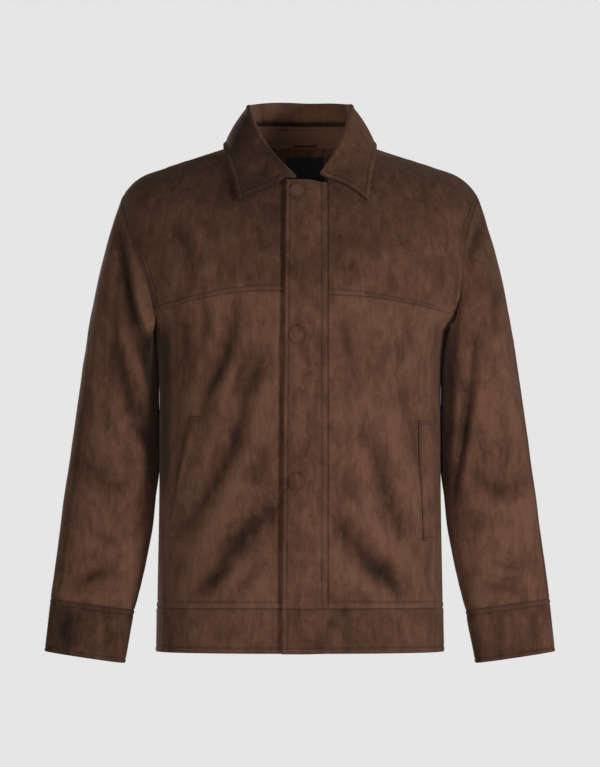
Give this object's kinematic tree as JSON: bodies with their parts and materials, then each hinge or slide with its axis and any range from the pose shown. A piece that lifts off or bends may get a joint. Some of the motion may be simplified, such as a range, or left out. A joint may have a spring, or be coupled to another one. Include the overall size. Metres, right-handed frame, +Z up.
{
  "type": "suede jacket",
  "caption": "Hip-length suede jacket with a pointed collar, covered button front, slanted welt pockets, cuffs and a hem band; hollow, in its worn shape.",
  "frame": {"origin": "centre of the shoulders, where a wearer or a hanger carries the jacket: on the centre line, 18.5 mm below the top of the shoulder at the neck", "axes": "+Z up, the jacket's length; +X towards the wearer's left; -Y is the front"},
  "size_m": [0.7038, 0.2764, 0.7892],
  "materials": {
    "suede": "brown suede with a short soft nap",
    "suede_inside": "darker brown suede facing",
    "label": "black woven cloth, bare",
    "button": "dark brown, horn-like"
  },
  "bodies": {
    "root": {"front_yoke_right": "suede", "front_yoke_left": "suede", "front_panel_right": "suede", "front_panel_left": "suede", "back_yoke": "suede", "back_panel": "suede", "sleeve_front_right": "suede", "sleeve_back_right": "suede", "sleeve_front_left": "suede", "sleeve_back_left": "suede", "cuff_right": "suede", "cuff_left": "suede", "hem_band_right": "suede", "hem_band_left": "suede", "hem_band_back": "suede", "placket": "suede", "collar": "suede", "collar_stand": "suede", "pocket_welt_right": "suede", "pocket_welt_left": "suede", "neck_facing": "suede_inside", "hanger_loop": "suede", "neck_label": "label", "button_1": "button", "button_2": "button", "button_3": "button", "button_4": "button", "button_5": "button", "button_6": "button", "button_7": "button"}
  },
  "joints": []
}
